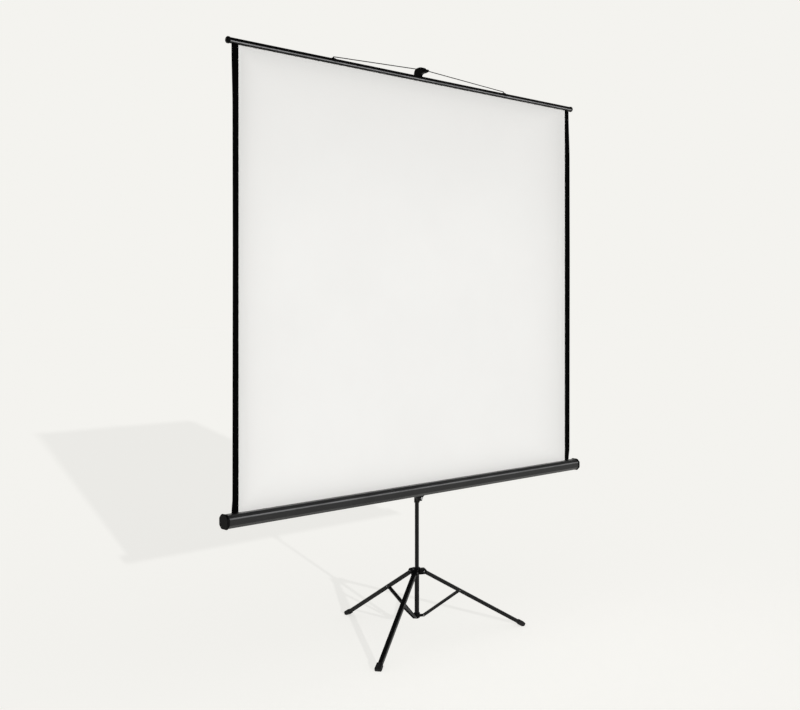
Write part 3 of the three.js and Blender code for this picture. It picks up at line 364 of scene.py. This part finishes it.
# painted highlight along the slat's lower front
def slat_highlight_line():
    radius = (slat_high.z - slat_low.z) / 2
    y = (slat_low.y + slat_high.y) / 2 - radius * math.cos(SLAT_HIGHLIGHT_TURN)
    z = (slat_low.z + slat_high.z) / 2 - radius * math.sin(SLAT_HIGHLIGHT_TURN)
    return y, z, SLAT_HIGHLIGHT_CORE, SLAT_HIGHLIGHT_REACH


# A surface whose colour and roughness vary by noise, with fine relief, and with its edges worn to another
# tone, or instead one line lightened to that tone as a painted highlight. Patch and grain are the noise's
# scales.
def worn_or_highlit_material(name, tones, wear_or_highlight_tone, roughness, patch, grain,
                  relief=FINE_RELIEF, highlight_line=None, metallic=0.0, specular=0.5):
    material, tree, shader = new_material(name, metallic, specular)
    place = place_of(tree)
    patches = noise_field(tree, place, patch, PATCH_DETAIL)
    rounded = rounded_normals(tree)
    # the mask is edge wear, or a painted highlight where a line is given
    wear_or_highlight = painted_highlight_line(tree, *highlight_line) if highlight_line else rubbed_edges(tree, rounded)
    worn_or_highlit = calculate(tree, "MULTIPLY", wear_or_highlight, spread(tree, patches, LEAST_WEAR_OR_HIGHLIGHT, 1.0))
    low, high = tones
    open_face = colour_between(tree, spread(tree, patches, 0.0, 1.0), grey(low), grey(high))
    tree.links.new(colour_between(tree, worn_or_highlit, open_face, grey(wear_or_highlight_tone)), shader.inputs["Base Color"])
    tree.links.new(spread(tree, patches, *roughness), shader.inputs["Roughness"])
    add_bump(tree, shader, noise_field(tree, place, grain, GRAIN_DETAIL), GRAIN_STRENGTH, relief, rounded)
    return material


def make_finishes():
    paint = worn_or_highlit_material(
        "satin_black_paint", tones=(0.002, 0.004), wear_or_highlight_tone=0.012, roughness=(0.34, 0.44),
        patch=9, grain=700, specular=0.15)
    # the enamel's line tone of 0.42 is a painted highlight along the slat's lower front
    enamel = worn_or_highlit_material(
        "gloss_black_enamel", tones=(0.0008, 0.0015), wear_or_highlight_tone=0.42, roughness=(0.18, 0.26),
        patch=9, grain=700, highlight_line=slat_highlight_line(), specular=0.15)
    # the casing's line tone of 0.2 is a painted highlight along its upper front fold
    casing = worn_or_highlit_material(
        "casing_paint", tones=(0.012, 0.017), wear_or_highlight_tone=0.2, roughness=(0.3, 0.4),
        patch=6, grain=600, highlight_line=casing_highlight_line(), specular=0.3)
    plastic = worn_or_highlit_material(
        "moulded_black_plastic", tones=(0.0015, 0.003), wear_or_highlight_tone=0.01, roughness=(0.38, 0.5),
        patch=14, grain=1400, specular=0.05)
    rubber = worn_or_highlit_material(
        "black_rubber", tones=(0.004, 0.009), wear_or_highlight_tone=0.015, roughness=(0.65, 0.8),
        patch=40, grain=900, relief=RUBBER_RELIEF, specular=0.25)
    wire = worn_or_highlit_material(
        "blackened_wire", tones=(0.001, 0.002), wear_or_highlight_tone=0.004, roughness=(0.45, 0.6),
        patch=30, grain=500, specular=0.02)
    steel = worn_or_highlit_material(
        "zinc_plated_steel", tones=(0.4, 0.55), wear_or_highlight_tone=0.62, roughness=(0.28, 0.42),
        patch=25, grain=500, metallic=1.0)
    rivet = worn_or_highlit_material(
        "dulled_rivet_steel", tones=(0.1, 0.17), wear_or_highlight_tone=0.24, roughness=(0.4, 0.55),
        patch=60, grain=500, metallic=1.0)
    return {
        "black_paint": paint,
        "enamel": enamel,
        "casing": casing,
        "black_plastic": plastic,
        "rubber": rubber,
        "steel": steel,
        "rivet": rivet,
        "wire": wire,
        "screen_fabric": make_white_fabric(),
    }


# Height of a plain weave of crossing threads, from 0 to 1
def weave(tree, place):
    scale = 2 * math.pi / (WAVE_RATE * THREAD)
    threads = []
    for direction in ("X", "Z"):
        wave = add_node(tree, "TexWave", {"Vector": place, "Scale": scale}, bands_direction=direction)
        threads.append(wave.outputs["Fac"])
    return calculate(tree, "MULTIPLY", *threads)


# White picture surface: fine weave, faint mottling, and painted shade that greys it where the sheet's
# shade attribute says so
def make_white_fabric():
    material, tree, shader = new_material("white_screen_fabric", specular=WHITE_SPECULAR)
    shader.inputs["Roughness"].default_value = WHITE_ROUGHNESS
    shader.inputs["Sheen Weight"].default_value = WHITE_SHEEN
    place = place_of(tree)
    mottle = spread(tree, noise_field(tree, place, MOTTLE_SCALE, MOTTLE_DETAIL), 0.0, 1.0)
    threads = weave(tree, place)
    base = colour_between(tree, average(tree, mottle, threads), *WHITE_TONES)
    # painted shade, greying the white towards the edges and over the upper part
    edge = add_node(tree, "Attribute", attribute_name="painted_edge_shade").outputs["Fac"]
    tree.links.new(colour_between(tree, edge, base, WHITE_PAINTED_SHADE), shader.inputs["Base Color"])
    add_bump(tree, shader, threads, WEAVE_STRENGTH, FINE_RELIEF)
    return material


def make_woven_black(name, tones, specular):
    material, tree, shader = new_material(name, specular=specular)
    place = place_of(tree)
    patches = noise_field(tree, place, BLACK_PATCH, PATCH_DETAIL)
    threads = weave(tree, place)
    low, high = tones
    share = average(tree, spread(tree, patches, 0.0, 1.0), threads)
    tree.links.new(colour_between(tree, share, grey(low), grey(high)), shader.inputs["Base Color"])
    tree.links.new(spread(tree, patches, *BLACK_ROUGHNESS), shader.inputs["Roughness"])
    add_bump(tree, shader, threads, WEAVE_STRENGTH, FINE_RELIEF)
    return material


# Pieces
def add_piece(name, vertices, faces, body, materials, face_materials=None):
    mesh = bpy.data.meshes.new(name)
    mesh.from_pydata(vertices, [], faces)
    for material in materials:
        mesh.materials.append(material)
    if face_materials:
        mesh.polygons.foreach_set("material_index", face_materials)
    mesh.shade_smooth()
    mesh.set_sharp_from_angle(angle=CREASE_ANGLE)
    piece = bpy.data.objects.new(name, mesh)
    bpy.context.scene.collection.objects.link(piece)
    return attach(piece, body)


def smoothstep(value):
    t = min(max(value, 0.0), 1.0)
    return t * t * (3 - 2 * t)


# Share of its full curl that the fabric has at a height from the slat or the casing that keeps it flat
def free_share(height, hold, reach):
    grown = min(max(height / reach, 0.0), 1.0)
    return smoothstep(height / hold) * (HELD_CURL + (1 - HELD_CURL) * grown)


# Painted shade on the picture surface, from 0 to 1: along its sides, beside the casing and slat, and a
# little over its upper part
def painted_shade_share(side, distance, z):
    side_reach = SHADE_REACH if side < 0 else RIGHT_SHADE_REACH
    beside = math.exp(-max(distance - BORDER_WIDTH, 0.0) / side_reach)
    from_ends = max(min(z - casing_high.z, slat_low.z - z), 0.0)
    upper = UPPER_SHADE * smoothstep(1 - (slat_low.z - z) / UPPER_SHADE_REACH)
    return min(max(beside, math.exp(-from_ends / SHADE_REACH)) + upper, 1.0)


# How far the fabric stands forward (-Y) at a distance in from a side edge: its edges curl towards the
# viewer, and a low ripple runs down beside each border
def lift(distance, side, z):
    held = free_share(z - casing_high.z, CASING_HOLD, CASING_REACH)
    held *= free_share(slat_low.z - z, SLAT_HOLD, SLAT_REACH)
    wander = noise.noise(Vector((side, side, z * WANDER_RATE)))
    crest = BORDER_WIDTH + RIPPLE_PLACE + RIPPLE_WANDER * wander
    ripple = RIPPLE_DEPTH * (1 + wander) * math.exp(-((distance - crest) / RIPPLE_WIDTH) ** 2)
    curl = EDGE_CURL * max(1 - distance / CURL_REACH, 0.0) ** 2
    return (ripple + curl) * held


# Columns of the fabric from left to right: the side, -1 or 1, and the distance in from that side's edge
def fabric_columns():
    fine_end = BORDER_WIDTH + FINE_STEP * FINE_COLUMNS
    border = [BORDER_WIDTH * i / BORDER_COLUMNS for i in range(BORDER_COLUMNS)]
    fine = [BORDER_WIDTH + FINE_STEP * i for i in range(FINE_COLUMNS)]
    coarse = [fine_end + (fabric_half - fine_end) * i / COARSE_COLUMNS for i in range(COARSE_COLUMNS)]
    distances = border + fine + coarse
    left = [(-1, distance) for distance in distances]
    right = [(1, distance) for distance in reversed(distances)]
    return left + [(1, fabric_half)] + right


# Points of the front layer and then of the back layer, row by row upwards, and the painted shade of each
def fabric_points(columns):
    vertices = []
    painted_shades = []
    for offset in (-fabric_thickness / 2, fabric_thickness / 2):
        for row in range(FABRIC_ROWS + 1):
            z = fabric_low.z + drawn * row / FABRIC_ROWS
            for side, distance in columns:
                x = side * (fabric_half - distance)
                vertices.append((x, fabric_y - lift(distance, side, z) + offset, z))
                painted_shades.append(painted_shade_share(side, distance, z))
    return vertices, painted_shades


# Faces of both layers, then of the bottom and top edges, then of the side edges, and their materials
def fabric_faces(columns):
    count = len(columns)
    layer = count * (FABRIC_ROWS + 1)
    faces = []
    materials = []
    for row in range(FABRIC_ROWS):
        for column in range(count - 1):
            a = row * count + column
            b = a + layer
            in_border = max(columns[column][1], columns[column + 1][1]) <= BORDER_WIDTH + FINE_STEP / 2
            faces += [(a, a + 1, a + 1 + count, a + count), (b, b + count, b + count + 1, b + 1)]
            materials += [BLACK if in_border else WHITE, BACK]
    for a in range(count - 1):
        b = FABRIC_ROWS * count + a
        faces += [(a, a + layer, a + layer + 1, a + 1), (b, b + 1, b + 1 + layer, b + layer)]
        materials += [BLACK, BLACK]
    for row in range(FABRIC_ROWS):
        a = row * count
        b = a + count - 1
        faces.append((a, a + count, a + count + layer, a + layer))
        faces.append((b, b + layer, b + count + layer, b + count))
        materials += [BLACK, BLACK]
    return faces, materials


def make_fabric(materials):
    columns = fabric_columns()
    vertices, painted_shades = fabric_points(columns)
    faces, face_materials = fabric_faces(columns)
    piece = add_piece("screen_cloth", vertices, faces, "carrier", materials, face_materials)
    # each point's painted shade, stored as an attribute that the white material reads
    shade_attribute = piece.data.attributes.new("painted_edge_shade", "FLOAT", "POINT")
    shade_attribute.data.foreach_set("value", painted_shades)
    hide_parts("fabric")
    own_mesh(piece)


# The turns of fabric that stay on the roller: one thin spiral, ending where the drawn sheet leaves.
# Each step has four points: the left and right ends of its inner side, and of its outer side.
def make_wound_fabric(white):
    centre_y = (roll_low.y + roll_high.y) / 2
    centre_z = (roll_low.z + roll_high.z) / 2
    outer = (roll_high.z - roll_low.z) / 2 - SHEET_THICKNESS / 2
    inner = (roller_high.z - roller_low.z) / 2 + fabric_thickness
    steps = WOUND_TURNS * STEPS_PER_TURN
    vertices = []
    for i in range(steps + 1):
        angle = 2 * math.pi * (i - steps) / STEPS_PER_TURN
        middle = inner + (outer - inner) * i / steps
        for radius in (middle - SHEET_THICKNESS / 2, middle + SHEET_THICKNESS / 2):
            y = centre_y + radius * math.cos(angle)
            z = centre_z + radius * math.sin(angle)
            vertices += [(roll_low.x, y, z), (roll_high.x, y, z)]
    end = 4 * steps
    faces = [(0, 1, 3, 2), (end, end + 2, end + 3, end + 1)]
    for a in range(0, end, 4):
        b = a + 4
        faces += [(a, b, b + 1, a + 1), (a + 2, a + 3, b + 3, b + 2)]
        faces += [(a, a + 2, b + 2, b), (a + 1, b + 1, b + 3, a + 3)]
    piece = add_piece("wound_cloth", vertices, faces, "roller", [white])
    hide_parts("fabric_roll")


# Domed head with a lobed rim, standing out from the saddle's front face
def make_saddle_screw(steel):
    mast_low, mast_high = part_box("mast_tube")
    mast_y = (mast_low.y + mast_high.y) / 2
    sleeve_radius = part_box("carrier_bracket")[1].y - mast_y
    face_y = mast_y - sleeve_radius - SADDLE_FORWARD
    centre_z = (roll_low.z + roll_high.z) / 2 - SCREW_DROP
    vertices = []
    for radius_share, height_share in SCREW_PROFILE:
        for i in range(SCREW_STEPS):
            angle = 2 * math.pi * i / SCREW_STEPS
            lobe = 1 - LOBE_DEPTH * (1 - math.cos(SCREW_LOBES * angle)) / 2
            radius = SCREW_RADIUS * radius_share * lobe
            x = SCREW_ASIDE + radius * math.cos(angle)
            vertices.append((x, face_y - SCREW_HEIGHT * height_share, centre_z + radius * math.sin(angle)))
    ring = list(range(SCREW_STEPS))
    last = (len(SCREW_PROFILE) - 1) * SCREW_STEPS
    faces = [ring[::-1], [last + i for i in ring]]
    for start in range(0, last, SCREW_STEPS):
        for i in ring:
            a = start + i
            b = start + (i + 1) % SCREW_STEPS
            faces.append((a, b, b + SCREW_STEPS, a + SCREW_STEPS))
    piece = add_piece("saddle_screw", vertices, faces, "carrier", [steel])


def dress_nodes(finishes):
    for part in frame["record"]["subparts"]:
        name = part["node"]
        finish = OWN_FINISH.get(name, part["material_slot"])
        if "_pin_" in name or "rivet" in name:
            finish = "rivet"
        node = frame["nodes"][name]
        node.data.materials.clear()
        node.data.materials.append(finishes[finish])


bpy.context.scene.view_settings.view_transform = "Standard"
make_camera()
make_sun()
make_world()
make_floor()
finishes = make_finishes()
dress_nodes(finishes)
border = make_woven_black("black_border_print", tones=(0.0008, 0.0015), specular=0.02)
back = make_woven_black("black_fabric_back", tones=(0.012, 0.045), specular=0.15)
make_fabric([finishes["screen_fabric"], border, back])
make_wound_fabric(finishes["screen_fabric"])
make_saddle_screw(finishes["steel"])
